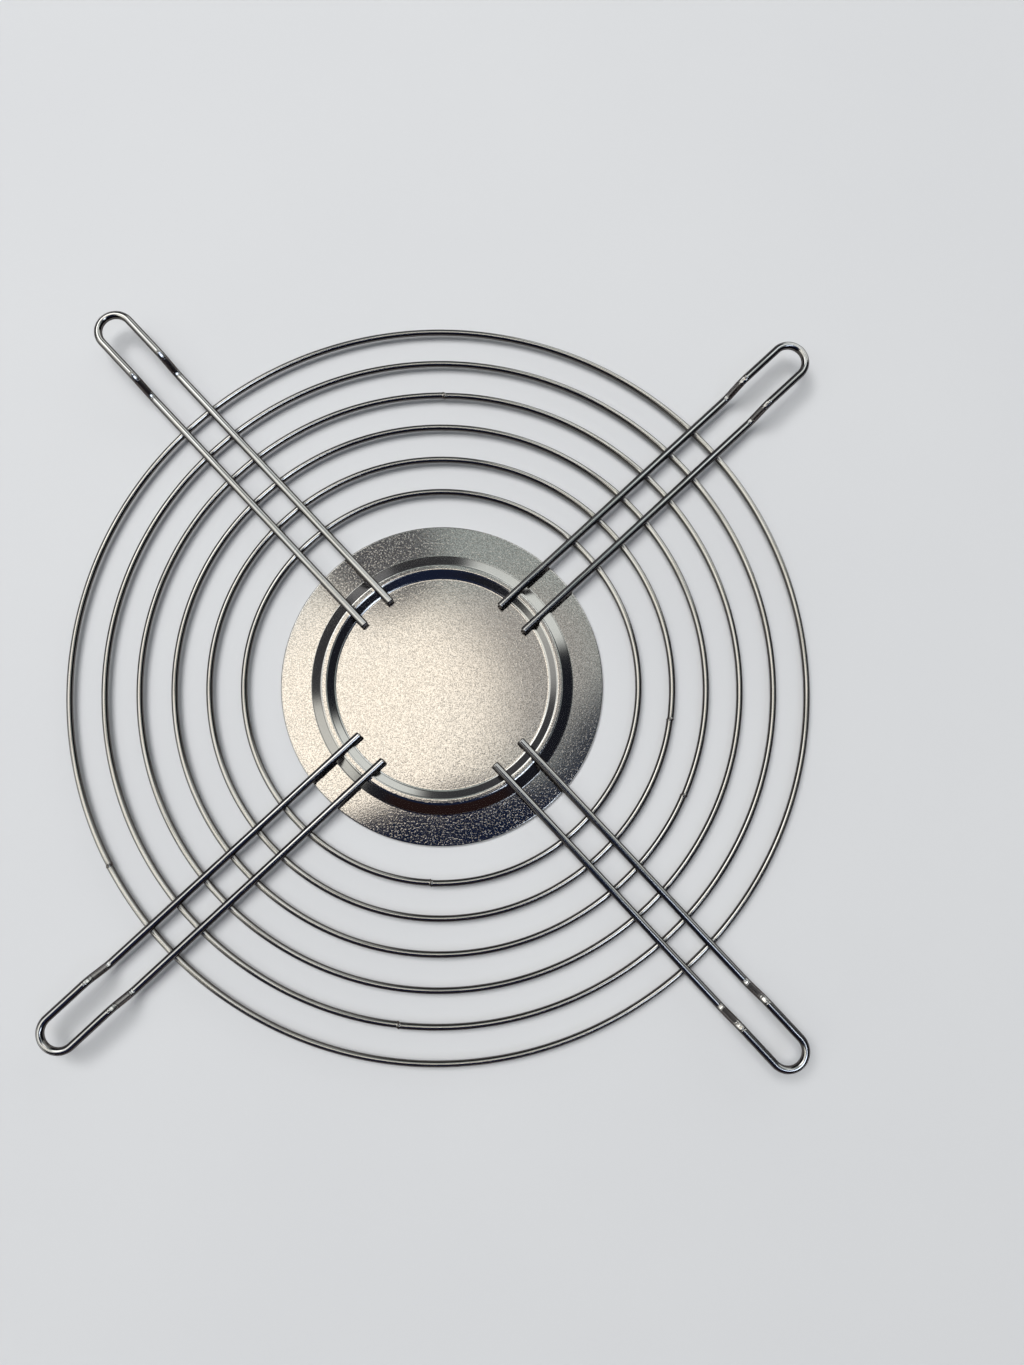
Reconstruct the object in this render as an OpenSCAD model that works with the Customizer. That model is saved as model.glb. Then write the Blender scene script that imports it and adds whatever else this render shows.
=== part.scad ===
// Wire finger guard of an axial fan: six rings and a pressed hub disc, welded under four hairpin legs.
// It lies with its room side down. The fan side, with the raised fixing loops, faces up.
// Millimetres; the origin is at the middle of the guard, on the surface that the hub disc rests on.

/* [Rings] */
// Thickness of the ring wire
ring_wire_d = 1.6; // [1.2:0.1:2.0]
// Radius of the innermost ring, to the middle of its wire
ring_first_r = 50.1; // [44:0.1:56]

/* [Butt welds of the rings] */
// How far the weld seam of a ring stands proud of its wire
seam_proud = 0.12; // [0.06:0.01:0.25]
// Width of the weld seam along the wire
seam_w = 0.6; // [0.4:0.1:1.2]

/* [Legs] */
// Thickness of the leg wire
leg_wire_d = 2.0; // [1.6:0.1:2.6]
// Distance between the two wires of a leg, middle to middle
leg_gap = 8.8; // [7.5:0.1:10.5]
// How far a leg reaches inward past the middle of the hub's bead
leg_past_bead = 5.9; // [3:0.1:8]
// Straight run of a leg outside the outer ring, up to its joggle
leg_overhang = 11.2; // [6:0.1:16]
// Bevel on the cut end of a leg wire
cut_bevel = 0.2; // [0.05:0.05:0.4]

/* [Fixing loops] */
// Side of the square on which the ends of the four loops are centred
fixing_square = 174; // [160:0.5:190]
// Straight run of a loop's two wires, from the joggle to the round end
foot_run = 11.1; // [6:0.1:16]
// How far the joggle lifts a loop above its leg
foot_rise = 4.5; // [3:0.1:6]
// Slope of the joggle
joggle_angle = 45; // [35:1:60]
// Radius of each bend of the joggle, to the middle of the wire
joggle_bend_r = 3.2; // [2.2:0.1:3.4]

/* [Hub disc] */
// Radius of the hub disc
hub_r = 41.2; // [38:0.1:44]
// Thickness of the disc's sheet
hub_sheet = 1.0; // [0.6:0.1:1.5]
// Radius of the middle of the raised bead that the legs are welded to
bead_r = 30.0; // [28:0.1:32]
// Height of the bead above the flange
bead_h = 2.0; // [1.4:0.1:2.8]
// Width of the bead's crest, between its two shoulders
crest_w = 1.4; // [1.2:0.1:2.4]
// Width of the bead's outer slope, from its shoulder to the flange
bead_outer_w = 2.3; // [1.8:0.1:4]
// Width of the bead's inner slope, from its shoulder to the middle plateau
bead_inner_w = 2.0; // [1.6:0.1:3]
// How far the plateau lies below the crest of the bead
plateau_drop = 1.2; // [0.8:0.1:1.8]
// Rounding of the bead's two shoulders
shoulder_round = 1.2; // [0.6:0.1:1.3]
// Rounding where the inner slope runs out into the plateau
plateau_round = 1.5; // [0.5:0.1:3]
// Rounding where the outer slope runs out into the flange
flange_round = 0.3; // [0.1:0.05:0.8]
// Rounding of the disc's upper outer edge
edge_round = 0.35; // [0.1:0.05:0.5]

/* [Spot welds] */
// How far a leg is pressed into each ring where they cross
sink_in_ring = 0.3; // [0.15:0.05:0.5]
// How far a leg is pressed into the crest of the hub's bead
sink_in_hub = 0.2; // [0.1:0.05:0.4]

/* [Hidden] */

// Sides with which a wire's section and a full turn about the guard's axis are drawn
wire_sides = 32;
turn_sides = 180;

ring_count = 6;
plating = "#c4c5c6";
satin_plating = "#b3b1aa";

// Direction in which the butt weld of each ring lies, from the innermost ring outward
seam_angles = [269, 353, 337, 92, 265, 211];

// Heights above the surface that the disc rests on
crest_z = hub_sheet + bead_h;
plateau_z = crest_z - plateau_drop;
leg_z = crest_z - sink_in_hub + leg_wire_d / 2;
ring_z = leg_z - leg_wire_d / 2 + sink_in_ring - ring_wire_d / 2;

// Slanted straight between the two bends of the joggle, and the joggle's length along the leg
joggle_slant = (foot_rise - 2 * joggle_bend_r * (1 - cos(joggle_angle))) / sin(joggle_angle);
joggle_length = 2 * joggle_bend_r * sin(joggle_angle) + joggle_slant * cos(joggle_angle);

// Places along a leg, measured from the middle of the guard: the fixing loops set where the legs joggle,
// and the rings share the room that is left inside
fixing_r = fixing_square / sqrt(2);
joggle_start = fixing_r - foot_run - joggle_length;
leg_start = bead_r - leg_past_bead;
leg_run = joggle_start - leg_start - cut_bevel;
outer_ring_r = joggle_start - leg_overhang;
ring_pitch = (outer_ring_r - ring_first_r) / (ring_count - 1);

// Bends of a leg in the order in which its wire runs: the straight length before the bend, the bend's
// radius and angle, and how far its plane is rolled about the wire
leg_bends = [
    [leg_run, joggle_bend_r, joggle_angle, 0],
    [joggle_slant, joggle_bend_r, -joggle_angle, 0],
    [foot_run, leg_gap / 2, 180, 90],
    [foot_run, joggle_bend_r, -joggle_angle, 0],
    [joggle_slant, joggle_bend_r, joggle_angle, 0]];

// Steps in which each rounding of the disc's section is drawn
round_steps = 6;

// Turns the leg that points along +X to each of the four corners
function corner_angle(corner) = 45 + 90 * corner;

// Arc of a radius that rounds the corner at b between a and c
function corner_arc(a, b, c, radius) =
    let (to_a = (a - b) / norm(a - b),
         to_c = (c - b) / norm(c - b),
         half = acos(to_a * to_c) / 2,
         centre = b + (to_a + to_c) / norm(to_a + to_c) * radius / sin(half),
         first = b + to_a * radius / tan(half) - centre,
         last = b + to_c * radius / tan(half) - centre,
         first_turn = atan2(first.y, first.x),
         last_turn = atan2(last.y, last.x))
    [for (i = [0 : round_steps])
        let (turn = first_turn + (last_turn - first_turn) * i / round_steps)
        centre + radius * [cos(turn), sin(turn)]];

// A path with its inner corners rounded; there is one radius for each
function rounded(path, radii) = concat(
    [path[0]],
    [for (i = [1 : len(radii)]) each corner_arc(path[i - 1], path[i], path[i + 1], radii[i - 1])],
    [path[len(path) - 1]]);

// Straight wire along +X; what follows starts at its end
module straight(length) {
    rotate([0, 90, 0])
        cylinder(d = leg_wire_d, h = length, $fn = wire_sides);
    translate([length, 0, 0])
        children();
}

// Wire that leaves along +X and bends up, or down for a negative angle; what follows starts at its end
module bend(radius, angle) {
    side = sign(angle);
    turn = abs(angle);
    mirror([0, 0, side < 0 ? 1 : 0])
        translate([0, 0, radius])
            rotate([90, 90, 0])
                rotate_extrude(angle = turn, $fn = turn_sides)
                    translate([radius, 0])
                        circle(d = leg_wire_d, $fn = wire_sides);
    translate([radius * sin(turn), 0, side * radius * (1 - cos(turn))])
        rotate([0, -angle, 0])
            children();
}

// Wire along +X through a list of bends like leg_bends; what follows starts at its end
module bent_wire(bends, first = 0) {
    if (first < len(bends)) {
        step = bends[first];
        straight(step[0])
            rotate([step[3], 0, 0])
                bend(step[1], step[2])
                    rotate([-step[3], 0, 0])
                        bent_wire(bends, first + 1)
                            children();
    } else {
        children();
    }
}

// Hairpin leg: one wire, joggled up to a fixing loop that takes the screw and back, with bevelled cut ends
module leg(corner) {
    cut_d = leg_wire_d - 2 * cut_bevel;
    color(plating)
        rotate([0, 0, corner_angle(corner)])
            translate([leg_start, leg_gap / 2, leg_z]) {
                rotate([0, 90, 0])
                    cylinder(d1 = cut_d, d2 = leg_wire_d, h = cut_bevel, $fn = wire_sides);
                translate([cut_bevel, 0, 0])
                    bent_wire(leg_bends)
                        straight(leg_run)
                            rotate([0, 90, 0])
                                cylinder(d1 = leg_wire_d, d2 = cut_d, h = cut_bevel, $fn = wire_sides);
            }
}

// The straight runs of all eight leg wires, which press a seat into what they are welded to
module weld_seats() {
    for (corner = [0 : 3], side = [-1, 1])
        rotate([0, 0, corner_angle(corner)])
            translate([leg_start, side * leg_gap / 2, leg_z])
                rotate([0, 90, 0])
                    cylinder(d = leg_wire_d, h = joggle_start - leg_start, $fn = wire_sides);
}

// Wire of thickness d bent round the guard's axis, over an angle from the +X direction
module hoop(radius, d, angle = 360) {
    translate([0, 0, ring_z])
        rotate_extrude(angle = angle, $fn = turn_sides)
            translate([radius, 0])
                circle(d = d, $fn = wire_sides);
}

// One ring of wire, counted from the innermost, with its butt weld and a seat under each leg wire
module ring(number) {
    radius = ring_first_r + (number - 1) * ring_pitch;
    seam_turn = seam_w / radius * 180 / PI;
    color(plating)
        difference() {
            union() {
                hoop(radius, ring_wire_d);
                rotate([0, 0, seam_angles[number - 1] - seam_turn / 2])
                    hoop(radius, ring_wire_d + 2 * seam_proud, seam_turn);
            }
            weld_seats();
        }
}

// Corners of the hub disc's section from its middle to its rim, with the flange at a height above z = 0
function pressed_line(height) =
    let (shoulder_in = bead_r - crest_w / 2,
         shoulder_out = bead_r + crest_w / 2)
    [[0, height + bead_h - plateau_drop],
     [shoulder_in - bead_inner_w, height + bead_h - plateau_drop],
     [shoulder_in, height + bead_h],
     [shoulder_out, height + bead_h],
     [shoulder_out + bead_outer_w, height],
     [hub_r, height]];

// Disc pressed from one sheet: flat flange, raised bead and middle plateau, with a seat under each leg wire
module hub_disc() {
    bead_rounds = [plateau_round, shoulder_round, shoulder_round, flange_round];
    top = rounded(concat(pressed_line(hub_sheet), [[hub_r, 0]]), concat(bead_rounds, [edge_round]));
    under = rounded(pressed_line(0), bead_rounds);
    color(satin_plating)
        difference() {
            rotate_extrude($fn = turn_sides)
                polygon(concat(top, [for (i = [len(under) - 2 : -1 : 0]) under[i]]));
            weld_seats();
        }
}

ring(1);  // ring_1
ring(2);  // ring_2
ring(3);  // ring_3
ring(4);  // ring_4
ring(5);  // ring_5
ring(6);  // ring_6
leg(0);  // leg_right_top
leg(1);  // leg_left_top
leg(2);  // leg_left_bottom
leg(3);  // leg_right_bottom
hub_disc();
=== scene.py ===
"""Looks of a welded wire fan guard that lies with its fan side up on a pale table.

The wires are swept and the hub disc is turned here with their small marks: butt welds, squeezed-out spot
welds, press marks of the joggles, sheared ends. Sizes are in metres; MM turns millimetres into metres.
"""
import math

import bpy
import numpy as np
from mathutils import Euler, Matrix, Vector


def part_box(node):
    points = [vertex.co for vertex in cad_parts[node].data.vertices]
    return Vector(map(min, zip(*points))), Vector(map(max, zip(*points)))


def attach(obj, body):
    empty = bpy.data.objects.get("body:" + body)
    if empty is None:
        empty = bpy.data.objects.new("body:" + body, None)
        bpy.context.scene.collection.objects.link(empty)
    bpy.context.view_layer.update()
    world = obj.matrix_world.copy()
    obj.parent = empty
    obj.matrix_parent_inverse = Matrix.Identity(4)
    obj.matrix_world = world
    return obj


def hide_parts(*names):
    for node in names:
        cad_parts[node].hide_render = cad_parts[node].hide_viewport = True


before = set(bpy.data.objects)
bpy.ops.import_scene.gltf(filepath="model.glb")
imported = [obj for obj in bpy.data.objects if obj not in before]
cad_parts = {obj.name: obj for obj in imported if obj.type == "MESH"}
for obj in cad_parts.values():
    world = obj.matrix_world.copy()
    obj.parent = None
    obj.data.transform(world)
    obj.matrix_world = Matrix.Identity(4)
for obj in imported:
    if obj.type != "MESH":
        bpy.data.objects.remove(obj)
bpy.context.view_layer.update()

MM = 0.001

# Driving dimensions of the guard, as in the part's source
RING_WIRE = 1.6 * MM
LEG_WIRE = 2.0 * MM
LEG_GAP = 8.8 * MM
LEG_PAST_BEAD = 5.9 * MM
LEG_OVERHANG = 11.2 * MM
JOGGLE_BEND = 3.2 * MM
JOGGLE_ANGLE = math.radians(45)
CUT_BEVEL = 0.2 * MM
HUB_SHEET = 1.0 * MM
BEAD_R = 30.0 * MM
BEAD_H = 2.0 * MM
CREST_W = 1.4 * MM
BEAD_OUTER_W = 2.3 * MM
BEAD_INNER_W = 2.0 * MM
PLATEAU_DROP = 1.2 * MM
SHOULDER_ROUND = 1.2 * MM
PLATEAU_ROUND = 1.5 * MM
FLANGE_ROUND = 0.3 * MM
EDGE_ROUND = 0.35 * MM

# Radii at which the bead's two slopes meet the plateau, the crest and the flange
INNER_FOOT = BEAD_R - CREST_W / 2 - BEAD_INNER_W
INNER_SHOULDER = BEAD_R - CREST_W / 2
OUTER_SHOULDER = BEAD_R + CREST_W / 2
OUTER_FOOT = BEAD_R + CREST_W / 2 + BEAD_OUTER_W

# Small step that the press left where the outer slope meets the flange, and the chamfer under the rim
FOOT_STEP = 0.35 * MM
FOOT_WIDE = 0.2 * MM
RIM_CHAMFER = 0.05 * MM

RINGS = sorted(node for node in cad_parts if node.startswith("ring_"))
LEGS = {"leg_right_top": 45, "leg_left_top": 135, "leg_left_bottom": 225, "leg_right_bottom": 315}

# Direction of each ring's butt weld, in degrees, from the innermost ring outward
WELD_ANGLES = [269, 353, 337, 92, 265, 211]

# Butt weld of a ring: how far each of its two ends slipped aside, the share of that by which it slipped
# down or up too, and how far along the wire it shows
WELD_SLIP = 0.1 * MM
WELD_SLIP_DOWN = 0.5
WELD_REACH = 3 * MM

# Metal squeezed out at the spot welds: on a ring, its height and its reach along the wire; on the bead's
# crest, its height, its distance from the middle of the leg wire and its width
RING_SWELL = 0.13 * MM
RING_SWELL_REACH = 1.15 * MM
CREST_SWELL = 0.03 * MM
CREST_SWELL_AWAY = 0.75 * MM
CREST_SWELL_WIDE = 0.25 * MM

# How finely the pieces are divided: sides of the wires, sectors of the disc, steps in each rounding of its
# section, longest step along its straights and how near to their ends it has a point
RING_SIDES = 24
LEG_SIDES = 32
HUB_SECTORS = 600
ROUND_STEPS = 8
SECTION_STEP = 2.5 * MM
SECTION_LEAD = 0.05 * MM

# Steps along the wires, finer beside a ring's weld and over the first stretch beside a leg's bends and ends
RING_STEP = 0.5 * MM
WELD_STEP = 0.1 * MM
LEG_STEP = 0.6 * MM
FINE_STEP = 0.09 * MM
FINE_REACH = 1.6 * MM
BEND_STEP = 0.25 * MM
BEND_STEPS_LEAST = 24

# Colours that show in the plating: drawing lines, pits, painted shade on the wires' low flanks, bare steel,
# which also paints shade on the legs' joggle slants, and the metal at a grazing angle
DULL_LINE = (0.25, 0.24, 0.23, 1)
WIRE_PIT = (0.30, 0.29, 0.28, 1)
PAINTED_FLANK_SHADE = (0.085, 0.075, 0.07, 1)
BARE_STEEL_AND_SHADE = (0.085, 0.06, 0.055, 1)
GRAZING_TINT = (0.35, 0.35, 0.37, 1)
DARK_SPECK = (0.40, 0.39, 0.37, 1)
LIGHT_SPECK = (0.84, 0.825, 0.80, 1)

# Noise, in features a metre; the drawing lines are long along the wire and fine around it
LINE_SCALES = (60, 4200, 0)
WIRE_PIT_SCALE = 2600
WIRE_CLOUD_SCALE = 160
PEBBLE_SCALE = 2800
SPECK_SCALE = 3700
HUB_PIT_SCALE = 2000
HUB_CLOUD_SCALE = 45
TABLE_CLOUD_SCALE = 9

# Height of the disc's grain, and the bead's slopes, which the press stretched smooth: how far inside their
# edges that starts and over what width it fades
HUB_GRAIN = 0.0025 * MM
SLOPE_INSET = 0.1 * MM
SLOPE_SOFT = 0.3 * MM

TABLE_HALF = 1.5

# Camera: how the guard is tilted and turned towards it, where it stands before it, and the field of view
VIEW_TILT = (math.radians(-6.62), math.radians(1.87))
VIEW_TURN = math.radians(-1.85)
VIEW_OFFSET = (-17.69 * MM, -0.19 * MM, -261.28 * MM)
FOCAL_PX = 1026
PHOTO_LONG_SIDE_PX = 1365
SENSOR = 36
CLIP_START = 0.01

# What the metal mirrors, later patches over earlier ones. Each has its compass direction (0 is the right,
# 90 the far side), its angle from straight overhead, the angle out to which it is full, the angle over
# which it then fades, and its light. Angles are in degrees.
ROOM = (0.012, 0.013, 0.019)
ROOM_PATCHES = [
    ("far walls", 130, 84, 50, 8, (0.05, 0.05, 0.056)),
    ("far grey panel", 126, 77, 9, 4, (0.25, 0.25, 0.26)),
    ("low light at the far right", 56, 72, 23, 9, (0.90, 0.93, 0.91)),
    ("low light on the left", 206, 90, 22, 7, (0.82, 0.82, 0.78)),
    ("grey wall on the left", 190, 55, 10, 12, (0.32, 0.32, 0.32)),
    ("dark red in front", 274, 84, 30, 8, (0.021, 0.0105, 0.010)),
    ("ceiling", 110, 6, 27, 14, (0.40, 0.44, 0.43)),
    ("ceiling near the lamp", 79, 7.6, 3, 3, (0.50, 0.475, 0.45)),
    ("bright ceiling on the left", 183, 30, 10, 20, (1.0, 1.0, 0.97)),
    ("upper light on the left", 203, 40, 8, 8, (1.15, 1.15, 1.06)),
    ("window lamp", 137, 33, 7, 7, (2.2, 2.2, 2.15)),
    ("ceiling lamp", 145, 7.5, 4, 5.5, (1.50, 1.37, 1.20)),
    ("lamp fitting", 114, 14.8, 1.8, 2.6, (0.13, 0.13, 0.14)),
    ("high light at the far right", 60, 26, 6, 5, (1.25, 1.28, 1.28)),
    ("black flag on the right", 353, 13.5, 9, 2.5, (0.04, 0.048, 0.07)),
    ("black flag in front", 280, 26, 26.5, 1.1, (0.010, 0.016, 0.042)),
]

# A strip of light that runs down towards the lower right, from one angle off the zenith to another. Its
# ends fade over a step in the sine of that angle, and its sides over an angle.
STRIP_AZIMUTH = 318
STRIP_FROM = 11
STRIP_TO = 36
STRIP_ENDS_SOFT = 0.05
STRIP_WIDE = 2.5
STRIP_SOFT = 3.0
STRIP_LIGHT = (2.1, 2.35, 2.75)

# How much of all that light is left at the horizon, and the height over which it grows to the whole
HORIZON_LIGHT = 0.25
HORIZON_SOFT = 0.18

# The window lamp that casts the shadows: its direction, distance, width, power and colour
LAMP_AZIMUTH = 137
LAMP_OFF_ZENITH = 21
LAMP_FAR = 2.0
LAMP_WIDE = 1.2
LAMP_WATTS = 30.0
LAMP_COLOUR = (1.0, 0.99, 0.97)


def smooth(x):
    """0 below 0, 1 above 1 and a soft step between."""
    t = np.clip(x, 0, 1)
    return t * t * (3 - 2 * t)


def bell(x):
    """1 at 0, falling off softly on both sides."""
    return np.exp(-np.square(x))


def heading(azimuth, off_zenith):
    """Unit vector at a compass direction and an angle from straight overhead, in degrees."""
    a, z = math.radians(azimuth), math.radians(off_zenith)
    return Vector((math.sin(z) * math.cos(a), math.sin(z) * math.sin(a), math.cos(z)))


class Graph:
    """Adds nodes to a tree; an input is given as a value or as another node's output socket."""

    def __init__(self, tree):
        self.tree = tree
        tree.nodes.clear()

    def add(self, kind, inputs=None, **settings):
        made = self.tree.nodes.new(kind)
        for key, value in settings.items():
            setattr(made, key, value)
        for key, value in (inputs or {}).items():
            if isinstance(value, bpy.types.NodeSocket):
                self.tree.links.new(value, made.inputs[key])
            else:
                made.inputs[key].default_value = value
        return made

    def math(self, operation, a, b=0.0):
        return self.add("ShaderNodeMath", {0: a, 1: b}, operation=operation).outputs[0]

    def plus(self, a, b):
        return self.math("ADD", a, b)

    def times(self, a, b):
        return self.math("MULTIPLY", a, b)

    def mix(self, factor, a, b):
        """Colour a where the factor is 0 and b where it is 1; sockets 6 and 7 take the colours."""
        made = self.add("ShaderNodeMix", {0: factor, 6: a, 7: b}, data_type="RGBA")
        return made.outputs[2]

    def ramp(self, value, low, high, out_low=0.0, out_high=1.0):
        inputs = {"Value": value, "From Min": low, "From Max": high, "To Min": out_low, "To Max": out_high}
        return self.add("ShaderNodeMapRange", inputs, interpolation_type="SMOOTHSTEP").outputs["Result"]

    def between(self, value, low, high, soft):
        """1 where the value lies between low and high, fading out over soft on either side."""
        above = self.ramp(value, low - soft, low)
        below = self.ramp(value, high, high + soft, 1.0, 0.0)
        return self.times(above, below)

    def noise(self, vector, scale, detail=2.0, roughness=0.5):
        inputs = {"Vector": vector, "Scale": scale, "Detail": detail, "Roughness": roughness}
        return self.add("ShaderNodeTexNoise", inputs).outputs["Fac"]

    def scaled(self, vector, factors):
        inputs = {0: vector, 1: factors}
        return self.add("ShaderNodeVectorMath", inputs, operation="MULTIPLY").outputs[0]

    def dot(self, vector, other):
        inputs = {0: vector, 1: other}
        return self.add("ShaderNodeVectorMath", inputs, operation="DOT_PRODUCT").outputs["Value"]

    def attribute(self, name):
        return self.add("ShaderNodeAttribute", attribute_name=name)

    def object_place(self):
        return self.add("ShaderNodeTexCoord").outputs["Object"]

    def bump(self, height, distance):
        return self.add("ShaderNodeBump", {"Height": height, "Distance": distance}).outputs["Normal"]

    def surface(self, inputs):
        """Ends a material in a principled shader with these inputs."""
        shader = self.add("ShaderNodeBsdfPrincipled", inputs)
        self.add("ShaderNodeOutputMaterial", {"Surface": shader.outputs[0]})


def new_material(name):
    """A material with an empty node tree, and the graph that fills it."""
    material = bpy.data.materials.new(name)
    material.use_nodes = True
    return material, Graph(material.node_tree)


def wire_material(name, colour, warm, polish, grain):
    """Plated wire: drawing lines, a faint grain, painted shade on its low flanks, dark bare steel where cut
    or marked, painted shade on the joggle slants.
    """
    material, g = new_material(name)
    place = g.attribute("wire_place").outputs["Vector"]
    mark_and_shade = g.attribute("mark_and_shade").outputs["Fac"]
    body = g.object_place()
    crown = g.add("ShaderNodeSeparateXYZ", {0: place}).outputs["Z"]
    lines = g.noise(g.scaled(place, LINE_SCALES), 1.0, 3.0, 0.6)
    pitting = g.noise(body, WIRE_PIT_SCALE, 3.0, 0.6)
    clouds = g.noise(body, WIRE_CLOUD_SCALE, 2.0)
    tone = g.mix(g.ramp(clouds, 0.35, 0.65), (*colour, 1), (*warm, 1))
    tone = g.mix(g.ramp(lines, 0.54, 0.64, 0.0, 0.6), tone, DULL_LINE)
    tone = g.mix(g.ramp(pitting, 0.64, 0.78, 0.0, 0.3), tone, WIRE_PIT)
    # Painted shade: the wire's colour darkens towards its underside, following the sine of its height.
    tone = g.mix(g.ramp(crown, 0.68, 0.93, 0.9, 0.0), tone, PAINTED_FLANK_SHADE)
    # Bare steel at cuts, welds and press marks; on the legs the same colour is also painted shade on the
    # joggle slants.
    tone = g.mix(mark_and_shade, tone, BARE_STEEL_AND_SHADE)
    rough = g.ramp(clouds, 0.3, 0.7, polish, polish + 0.06)
    rough = g.plus(rough, g.times(mark_and_shade, 0.3))
    height = g.plus(g.times(lines, 0.5), g.times(pitting, 0.5))
    g.surface({"Base Color": tone, "Metallic": 1.0, "Roughness": rough, "Normal": g.bump(height, grain),
               "Specular Tint": GRAZING_TINT})
    return material


def hub_material():
    """Satin plated sheet: fine pebbled grain, but smooth where the press stretched the bead's slopes."""
    material, g = new_material("hub_satin_plating")
    body = g.object_place()
    flat = g.scaled(body, (1, 1, 0))
    radius = g.add("ShaderNodeVectorMath", {0: flat}, operation="LENGTH").outputs["Value"]
    inner = g.between(radius, INNER_FOOT + SLOPE_INSET, INNER_SHOULDER - SLOPE_INSET, SLOPE_SOFT)
    outer = g.between(radius, OUTER_SHOULDER + SLOPE_INSET, OUTER_FOOT + FOOT_WIDE, SLOPE_SOFT)
    grained = g.math("SUBTRACT", 1.0, g.times(g.math("MAXIMUM", inner, outer), 0.85))
    pebbles = g.noise(body, PEBBLE_SCALE, 1.0, 0.5)
    specks = g.noise(body, SPECK_SCALE, 1.0, 0.5)
    clouds = g.noise(body, HUB_CLOUD_SCALE, 3.0, 0.55)
    tone = g.mix(g.ramp(clouds, 0.35, 0.7), (0.675, 0.66, 0.63, 1), (0.655, 0.65, 0.63, 1))
    tone = g.mix(g.times(g.ramp(specks, 0.50, 0.60, 0.0, 0.7), grained), tone, DARK_SPECK)
    tone = g.mix(g.times(g.ramp(specks, 0.38, 0.49, 0.7, 0.0), grained), tone, LIGHT_SPECK)
    rough = g.ramp(clouds, 0.3, 0.7, 0.055, 0.08)
    rough = g.plus(rough, g.times(g.math("SUBTRACT", 1.0, grained), 0.10))
    pits = g.ramp(g.noise(body, HUB_PIT_SCALE, 1.0, 0.5), 0.57, 0.66)
    height = g.plus(g.plus(pebbles, g.times(specks, 0.5)), g.times(pits, 1.9))
    height = g.times(height, grained)
    g.surface({"Base Color": tone, "Metallic": 1.0, "Roughness": rough, "Normal": g.bump(height, HUB_GRAIN)})
    return material


def table_material():
    """Matt pale grey, a little cloudy."""
    material, g = new_material("table")
    clouds = g.noise(g.object_place(), TABLE_CLOUD_SCALE, 3.0)
    tone = g.mix(clouds, (0.65, 0.66, 0.685, 1), (0.69, 0.70, 0.72, 1))
    g.surface({"Base Color": tone, "Roughness": 0.7})
    return material


def finish_mesh(name, points, faces, material, replaced, attributes=None):
    """A smooth piece from points and faces that rides on the guard and stands for a CAD node."""
    mesh = bpy.data.meshes.new(name)
    mesh.from_pydata(points.tolist(), [], faces)
    mesh.polygons.foreach_set("use_smooth", [True] * len(mesh.polygons))
    for key, values in (attributes or {}).items():
        kind = "FLOAT_VECTOR" if values.ndim == 2 else "FLOAT"
        field = "vector" if values.ndim == 2 else "value"
        mesh.attributes.new(key, kind, "POINT").data.foreach_set(field, values.astype(np.float32).ravel())
    mesh.materials.append(material)
    mesh.validate()
    piece = bpy.data.objects.new(name, mesh)
    bpy.context.scene.collection.objects.link(piece)
    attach(piece, "root")
    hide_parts(replaced)
    return piece


def strip_faces(rows, sides, closed):
    """Quads between neighbouring loops of points; the last loop meets the first where it is closed."""
    faces = []
    for row in range(rows if closed else rows - 1):
        a = row * sides
        b = (row + 1) % rows * sides
        for side in range(sides):
            after = (side + 1) % sides
            faces.append((a + side, a + after, b + after, b + side))
    return faces


def around_wire(sides):
    """Angles around a wire's section, from its underside."""
    return np.linspace(0, 2 * math.pi, sides, endpoint=False) - math.pi / 2


def sweep(centres, tangents, radii, around):
    """Points of a tube. radii has a row for each centre and a column for each angle in around."""
    side = np.stack([-tangents[:, 1], tangents[:, 0], np.zeros(len(tangents))], 1)
    side /= np.linalg.norm(side, axis=1)[:, None]
    up = np.cross(tangents, side)
    spokes = np.cos(around)[None, :, None] * side[:, None] + np.sin(around)[None, :, None] * up[:, None]
    return (centres[:, None] + radii[:, :, None] * spokes).reshape(-1, 3)


def wire_attributes(along, around, wire, marks_and_shade):
    """Where a point lies along and around its wire (metres), its sine of height, and how dark it is from
    marks and painted shade.
    """
    place = np.zeros((len(along), len(around), 3))
    place[:, :, 0] = along[:, None]
    place[:, :, 1] = around[None, :] * wire / 2
    place[:, :, 2] = np.sin(around)[None, :]
    return {"wire_place": place.reshape(-1, 3), "mark_and_shade": marks_and_shade.reshape(-1)}


def ring_radius(name):
    """Radius of a ring to the middle of its wire; its weld seam widens the box on one side at most."""
    low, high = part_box(name)
    return min(-low.x, -low.y, high.x, high.y) - RING_WIRE / 2


def ring_stations(length):
    """Distances along a ring from its butt weld, close together on both sides of it."""
    coarse = np.linspace(0, length, int(length / RING_STEP), endpoint=False)
    fine = np.arange(0, WELD_REACH, WELD_STEP)
    return np.unique(np.round(np.concatenate([coarse, fine, length - fine[1:]]), 7))


def near_crossings(theta, radius):
    """How near each point of a ring is to a leg wire across it, from 0 away from them all to 1 at one."""
    near = np.zeros(len(theta))
    for corner in LEGS.values():
        for side in (-1, 1):
            at = math.radians(corner) + side * math.asin(LEG_GAP / 2 / radius)
            away = (theta - at + math.pi) % (2 * math.pi) - math.pi
            near = np.maximum(near, bell(away * radius / RING_SWELL_REACH))
    return near


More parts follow.
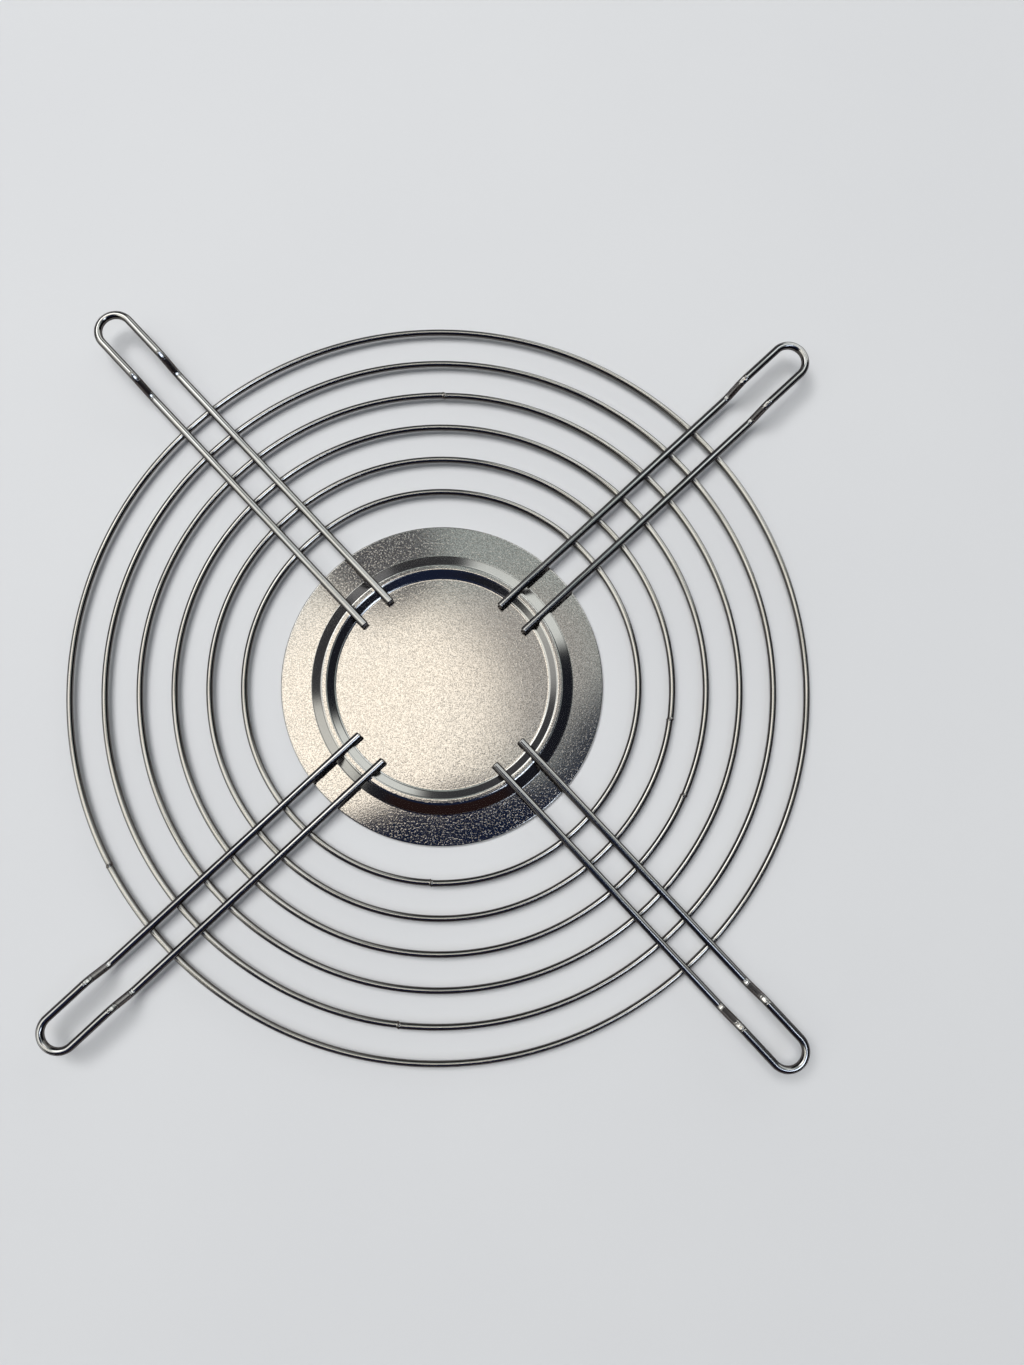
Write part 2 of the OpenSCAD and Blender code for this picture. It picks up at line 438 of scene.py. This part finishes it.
def make_ring(name, weld_angle, material):
    """A ring of wire with its butt weld, swollen a little beside each leg wire welded onto it."""
    low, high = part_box(name)
    radius = ring_radius(name)
    length = 2 * math.pi * radius
    seam_proud = (high.z - low.z - RING_WIRE) / 2
    along = ring_stations(length)
    around = around_wire(RING_SIDES)
    theta = math.radians(weld_angle) + along / radius
    from_weld = np.minimum(along, length - along)
    side_of_weld = np.where(along < length / 2, 1.0, -1.0)
    crossing = near_crossings(theta, radius)

    slip = WELD_SLIP * side_of_weld * np.exp(-from_weld / WELD_REACH)
    centre_r = radius + slip
    centre_z = np.full(len(theta), (low.z + high.z) / 2) - WELD_SLIP_DOWN * slip
    centres = np.stack([centre_r * np.cos(theta), centre_r * np.sin(theta), centre_z], 1)
    tangents = np.stack([-np.sin(theta), np.cos(theta), np.zeros(len(theta))], 1)

    collar = seam_proud * smooth(1.5 - from_weld / (0.3 * MM))
    groove = 0.06 * MM * bell(from_weld / (0.09 * MM))
    swell = RING_SWELL * crossing[:, None] * np.clip(np.sin(around), 0, 1)[None, :]
    radii = RING_WIRE / 2 + (collar - groove)[:, None] + swell

    dark_seam = 0.7 * bell(from_weld / (0.14 * MM))
    scorched = 0.2 * bell(from_weld / (1.4 * MM))
    marks_and_shade = np.clip(dark_seam + scorched + 0.3 * crossing, 0, 1)
    marks_and_shade = np.repeat(marks_and_shade[:, None], len(around), 1)

    points = sweep(centres, tangents, radii, around)
    faces = strip_faces(len(along), len(around), closed=True)
    attributes = wire_attributes(along, around, RING_WIRE, marks_and_shade)
    return finish_mesh(f"{name}_wire", points, faces, material, name, attributes)


def leg_stations(length):
    """Distances along a straight after its start, close together near both of its ends."""
    near = np.arange(FINE_STEP, min(FINE_REACH, length), FINE_STEP)
    far = np.linspace(0, length, max(2, int(length / LEG_STEP)))
    return np.unique(np.round(np.concatenate([near, far[1:], length - near]), 7))


def bent_path(start, moves):
    """Points, tangents and distances along a wire that starts along +X.

    A move is the straight length before a bend, the bend's radius and angle, and the direction to which it
    bends: "up" or "right". Also gives the distances at which each bend starts and ends.
    """
    place = Vector(start)
    way = Vector((1, 0, 0))
    points, tangents, along, bends = [place.copy()], [way.copy()], [0.0], []
    for length, radius, angle, towards in moves:
        before = along[-1]
        for distance in leg_stations(length):
            points.append(place + way * distance)
            tangents.append(way.copy())
            along.append(before + distance)
        place = place + way * length
        if not angle:
            continue
        side = Vector((-way.y, way.x, 0)).normalized()
        inward = way.cross(side) if towards == "up" else -side
        inward = inward * math.copysign(1, angle)
        turn = abs(angle)
        count = max(BEND_STEPS_LEAST, round(radius * turn / BEND_STEP))
        bends.append((along[-1], along[-1] + radius * turn))
        for i in range(1, count + 1):
            a = turn * i / count
            points.append(place + radius * (math.sin(a) * way + (1 - math.cos(a)) * inward))
            tangents.append(math.cos(a) * way + math.sin(a) * inward)
            along.append(along[-1] + radius * turn / count)
        place = points[-1].copy()
        way = tangents[-1].normalized()
    return np.array(points), np.array(tangents), np.array(along), bends


def leg_moves(name):
    """Where a leg starts and its bends, from the heights of its node and the place of the outer ring."""
    low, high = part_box(name)
    rise = high.z - low.z - LEG_WIRE
    start = BEAD_R - LEG_PAST_BEAD
    joggle_start = ring_radius(RINGS[-1]) + LEG_OVERHANG
    slant = (rise - 2 * JOGGLE_BEND * (1 - math.cos(JOGGLE_ANGLE))) / math.sin(JOGGLE_ANGLE)
    joggle = 2 * JOGGLE_BEND * math.sin(JOGGLE_ANGLE) + slant * math.cos(JOGGLE_ANGLE)
    widest = max(abs(low.x), abs(high.x))
    loop_at = (widest - LEG_GAP / 2 - LEG_WIRE / 2) * math.sqrt(2)
    foot = loop_at - joggle_start - joggle
    first = joggle_start - start
    moves = [
        (first, JOGGLE_BEND, JOGGLE_ANGLE, "up"),
        (slant, JOGGLE_BEND, -JOGGLE_ANGLE, "up"),
        (foot, LEG_GAP / 2, math.pi, "right"),
        (foot, JOGGLE_BEND, -JOGGLE_ANGLE, "up"),
        (slant, JOGGLE_BEND, JOGGLE_ANGLE, "up"),
        (first, 0, 0, "up"),
    ]
    return (start, LEG_GAP / 2, low.z + LEG_WIRE / 2), moves


def press_bites(radii, marks_and_shade, along, around, bends, random):
    """The flats and nicks that the press left across the top of the wire at each bend of a joggle."""
    top = np.clip(np.sin(around), 0, 1)[None, :]
    for begin, stop in bends:
        middle = (begin + stop) / 2 + random.normal(0, 0.15 * MM)
        lean = random.uniform(-0.3, 0.3) * MM
        away = along[:, None] - middle - lean * np.cos(around)[None, :]
        half = random.uniform(0.55, 0.75) * MM
        pressed = smooth((half - np.abs(away)) / (0.14 * MM))
        depth = random.uniform(0.12, 0.16) * MM * pressed
        flat = (LEG_WIRE / 2 - depth) / np.maximum(top, 0.2)
        radii[:] = np.minimum(radii, np.where(top > 0.2, flat, radii))
        for side in (-1, 1):
            nick_at = side * (half + random.uniform(0.1, 0.3) * MM)
            nick = bell((away - nick_at) / (0.13 * MM)) * top ** 0.5
            radii -= random.uniform(0.05, 0.09) * MM * nick
            marks_and_shade[:] = np.maximum(marks_and_shade, 0.35 * nick)


def make_leg(name, corner, seed, material):
    """A hairpin leg with sheared ends, bites of the press at its joggle bends and painted shade on the
    slants between.
    """
    start, moves = leg_moves(name)
    points, tangents, along, bends = bent_path(start, moves)
    around = around_wire(LEG_SIDES)
    length = along[-1]
    from_end = np.minimum(along, length - along)
    radii = np.full((len(along), LEG_SIDES), LEG_WIRE / 2)
    radii -= np.clip(CUT_BEVEL - from_end, 0, None)[:, None]
    marks_and_shade = np.repeat((0.5 * smooth(1.0 - from_end / (0.3 * MM)))[:, None], LEG_SIDES, 1)

    rising, falling = bends[:2], bends[-2:]
    # Painted shade: the joggle slants and the ends of their bends take the dark colour of bare steel.
    for lower, upper in (rising, falling):
        inside = np.minimum(along - lower[1], upper[0] - along)
        marks_and_shade += 0.55 * smooth(1.0 + inside / (0.8 * MM))[:, None]
    press_bites(radii, marks_and_shade, along, around, rising + falling, np.random.default_rng(seed))

    turn = np.array(Matrix.Rotation(math.radians(corner), 3, "Z"))
    swept = sweep(points @ turn.T, tangents @ turn.T, radii, around)
    faces = strip_faces(len(along), LEG_SIDES, closed=False)
    last_row = (len(along) - 1) * LEG_SIDES
    faces.append(tuple(reversed(range(LEG_SIDES))))
    faces.append(tuple(last_row + side for side in range(LEG_SIDES)))
    attributes = wire_attributes(along, around, LEG_WIRE, marks_and_shade)
    leg = finish_mesh(f"{name}_wire", swept, faces, material, name, attributes)
    for cut in leg.data.polygons[-2:]:
        cut.use_smooth = False
    return leg


def corner_arc(a, b, c, radius):
    """Arc of a radius that rounds the corner at b between a and c, as a list of points."""
    to_a = (a - b) / np.linalg.norm(a - b)
    to_c = (c - b) / np.linalg.norm(c - b)
    half = math.acos(np.dot(to_a, to_c)) / 2
    centre = b + (to_a + to_c) / np.linalg.norm(to_a + to_c) * radius / math.sin(half)
    first = b + to_a * radius / math.tan(half) - centre
    last = b + to_c * radius / math.tan(half) - centre
    begin = math.atan2(first[1], first[0])
    turn = (math.atan2(last[1], last[0]) - begin + math.pi) % (2 * math.pi) - math.pi
    angles = begin + turn * np.linspace(0, 1, ROUND_STEPS + 1)
    return [centre + radius * np.array([math.cos(t), math.sin(t)]) for t in angles]


def rounded(path, radii):
    """A path with its inner corners rounded; there is one radius for each."""
    path = [np.array(p) for p in path]
    points = [path[0]]
    for i, radius in enumerate(radii):
        points += corner_arc(path[i], path[i + 1], path[i + 2], radius)
    return points + [path[-1]]


def divided(points):
    """The same path with its long straights divided, and a point just inside each of their ends."""
    out = [points[0]]
    for a, b in zip(points, points[1:]):
        length = np.linalg.norm(b - a)
        if length > 4 * SECTION_LEAD:
            count = max(2, int(length / SECTION_STEP) + 1)
            inner = np.linspace(SECTION_LEAD, length - SECTION_LEAD, count)
            out += [a + (b - a) * t / length for t in inner]
        out.append(b)
    return out


def hub_section(rim, plateau_z, crest_z):
    """The disc's section: along its top from near the axis to the rim, then back along its underside."""
    near_axis = 0.4 * MM
    line = [
        (near_axis, plateau_z),
        (INNER_FOOT, plateau_z),
        (INNER_SHOULDER, crest_z),
        (OUTER_SHOULDER, crest_z),
        (OUTER_FOOT + FOOT_WIDE / 2, HUB_SHEET + FOOT_STEP),
        (OUTER_FOOT + 1.5 * FOOT_WIDE, HUB_SHEET),
        (rim, HUB_SHEET),
    ]
    bead_rounds = [PLATEAU_ROUND, SHOULDER_ROUND, SHOULDER_ROUND, FLANGE_ROUND / 3, FLANGE_ROUND]
    top = rounded(line + [(rim, 0.0)], bead_rounds + [EDGE_ROUND])
    under = rounded([(r, z - HUB_SHEET) for r, z in line], bead_rounds)
    top[-1] = top[-1] + np.array([0, RIM_CHAMFER])
    under[-1] = under[-1] - np.array([RIM_CHAMFER, 0])
    return np.array(divided(top) + divided(under)[::-1])


def make_hub(material):
    """The pressed disc, turned from its section, with the metal squeezed up beside each leg wire."""
    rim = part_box("hub_disc")[1].x
    crest_z = HUB_SHEET + BEAD_H
    plateau_z = crest_z - PLATEAU_DROP
    section = hub_section(rim, plateau_z, crest_z)
    rows = len(section)
    angles = np.linspace(0, 2 * math.pi, HUB_SECTORS, endpoint=False)
    points = np.zeros((rows, HUB_SECTORS, 3))
    points[:, :, 0] = section[:, 0, None] * np.cos(angles)
    points[:, :, 1] = section[:, 0, None] * np.sin(angles)
    points[:, :, 2] = section[:, 1, None]
    squeeze_up(points, crest_z)
    faces = [tuple(reversed(f)) for f in strip_faces(rows, HUB_SECTORS, closed=False)]
    middles = [[0, 0, plateau_z], [0, 0, plateau_z - HUB_SHEET]]
    points = np.vstack([points.reshape(-1, 3), middles])
    top_middle = len(points) - 2
    last_row = (rows - 1) * HUB_SECTORS
    for i in range(HUB_SECTORS):
        after = (i + 1) % HUB_SECTORS
        faces.append((top_middle, i, after))
        faces.append((top_middle + 1, last_row + after, last_row + i))
    return finish_mesh("hub_disc_plate", points, faces, material, "hub_disc")


def squeeze_up(points, crest_z):
    """Raises the bead's crest a little along both sides of each leg wire that is welded across it."""
    crest = smooth((points[:, :, 2] - crest_z + 0.3 * MM) / (0.25 * MM))
    raised = np.zeros(crest.shape)
    for corner in LEGS.values():
        a = math.radians(corner)
        outward = points[:, :, 0] * math.cos(a) + points[:, :, 1] * math.sin(a)
        across = points[:, :, 1] * math.cos(a) - points[:, :, 0] * math.sin(a)
        from_wire = np.abs(np.abs(across) - LEG_GAP / 2)
        beside = bell((from_wire - CREST_SWELL_AWAY) / CREST_SWELL_WIDE)
        raised = np.maximum(raised, np.where(outward > 0, beside, 0))
    points[:, :, 2] += CREST_SWELL * crest * raised


def make_table():
    """The plain tabletop on which the guard lies."""
    corners = [(x * TABLE_HALF, y * TABLE_HALF, 0) for x, y in ((-1, -1), (1, -1), (1, 1), (-1, 1))]
    mesh = bpy.data.meshes.new("table")
    mesh.from_pydata(corners, [], [(0, 1, 2, 3)])
    mesh.materials.append(table_material())
    table = bpy.data.objects.new("table", mesh)
    bpy.context.scene.collection.objects.link(table)


def make_camera():
    """The camera of the photograph, placed by how the guard lies before it."""
    low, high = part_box(RINGS[0])
    to_rings = Matrix.Translation((0, 0, -(low.z + high.z) / 2))
    pose = Euler((VIEW_TILT[0], 0, 0)).to_matrix() @ Euler((0, VIEW_TILT[1], 0)).to_matrix()
    pose = pose @ Matrix.Rotation(VIEW_TURN, 3, "Z")
    guard_before_camera = Matrix.Translation(VIEW_OFFSET) @ pose.to_4x4() @ to_rings
    data = bpy.data.cameras.new("camera")
    data.sensor_width = SENSOR
    data.lens = SENSOR * FOCAL_PX / PHOTO_LONG_SIDE_PX
    data.clip_start = CLIP_START
    camera = bpy.data.objects.new("camera", data)
    camera.matrix_world = guard_before_camera.inverted()
    bpy.context.scene.collection.objects.link(camera)
    bpy.context.scene.camera = camera


def make_lamp():
    """A wide round lamp that casts the shadows; the metal mirrors the room's patches instead of it."""
    place = LAMP_FAR * heading(LAMP_AZIMUTH, LAMP_OFF_ZENITH)
    data = bpy.data.lights.new("window", "AREA")
    data.shape = "DISK"
    data.size = LAMP_WIDE
    data.energy = LAMP_WATTS
    data.color = LAMP_COLOUR
    lamp = bpy.data.objects.new("window", data)
    lamp.location = place
    lamp.visible_glossy = False
    lamp.rotation_euler = (-place).to_track_quat("-Z", "Y").to_euler()
    bpy.context.scene.collection.objects.link(lamp)


def add_patches(g, direction, tone):
    """The room's tone with each of its patches laid over it."""
    for _, azimuth, off_zenith, wide, soft, light in ROOM_PATCHES:
        near = g.dot(direction, heading(azimuth, off_zenith))
        inside = g.ramp(near, math.cos(math.radians(wide + soft)), math.cos(math.radians(wide)))
        tone = g.mix(inside, tone, (*light, 1))
    return tone


def add_strip(g, direction, tone):
    """The room's tone with the strip of light laid over it."""
    along = g.dot(direction, heading(STRIP_AZIMUTH, 90))
    across = g.math("ABSOLUTE", g.dot(direction, heading(STRIP_AZIMUTH + 90, 90)))
    start, end = math.sin(math.radians(STRIP_FROM)), math.sin(math.radians(STRIP_TO))
    full, faded = math.sin(math.radians(STRIP_WIDE)), math.sin(math.radians(STRIP_WIDE + STRIP_SOFT))
    lengthwise = g.between(along, start, end, STRIP_ENDS_SOFT)
    crosswise = g.ramp(across, full, faded, 1.0, 0.0)
    return g.mix(g.times(lengthwise, crosswise), tone, (*STRIP_LIGHT, 1))


def make_room():
    """The surroundings: soft patches of light and dark and a strip of light, dimmer towards the horizon."""
    world = bpy.data.worlds.new("studio")
    bpy.context.scene.world = world
    world.use_nodes = True
    g = Graph(world.node_tree)
    direction = g.add("ShaderNodeTexCoord").outputs["Generated"]
    tone = add_strip(g, direction, add_patches(g, direction, (*ROOM, 1)))
    height = g.add("ShaderNodeSeparateXYZ", {0: direction}).outputs["Z"]
    tone = g.mix(g.ramp(height, 0.0, HORIZON_SOFT, 1.0 - HORIZON_LIGHT, 0.0), tone, (0, 0, 0, 1))
    background = g.add("ShaderNodeBackground", {"Color": tone, "Strength": 1.0})
    g.add("ShaderNodeOutputWorld", {"Surface": background.outputs[0]})


def set_view():
    """Colours show as they are written."""
    bpy.context.scene.view_settings.view_transform = "Standard"


make_camera()
make_room()
make_lamp()
make_table()

ring_metal = wire_material("ring_plating", colour=(0.70, 0.69, 0.665), warm=(0.71, 0.69, 0.645),
                           polish=0.11, grain=0.002 * MM)
for ring_name, weld in zip(RINGS, WELD_ANGLES):
    make_ring(ring_name, weld, ring_metal)

leg_metal = wire_material("leg_plating", colour=(0.69, 0.69, 0.69), warm=(0.70, 0.685, 0.66),
                          polish=0.09, grain=0.0015 * MM)
for number, (leg_name, corner_angle) in enumerate(LEGS.items()):
    make_leg(leg_name, corner_angle, number + 1, leg_metal)

make_hub(hub_material())
set_view()
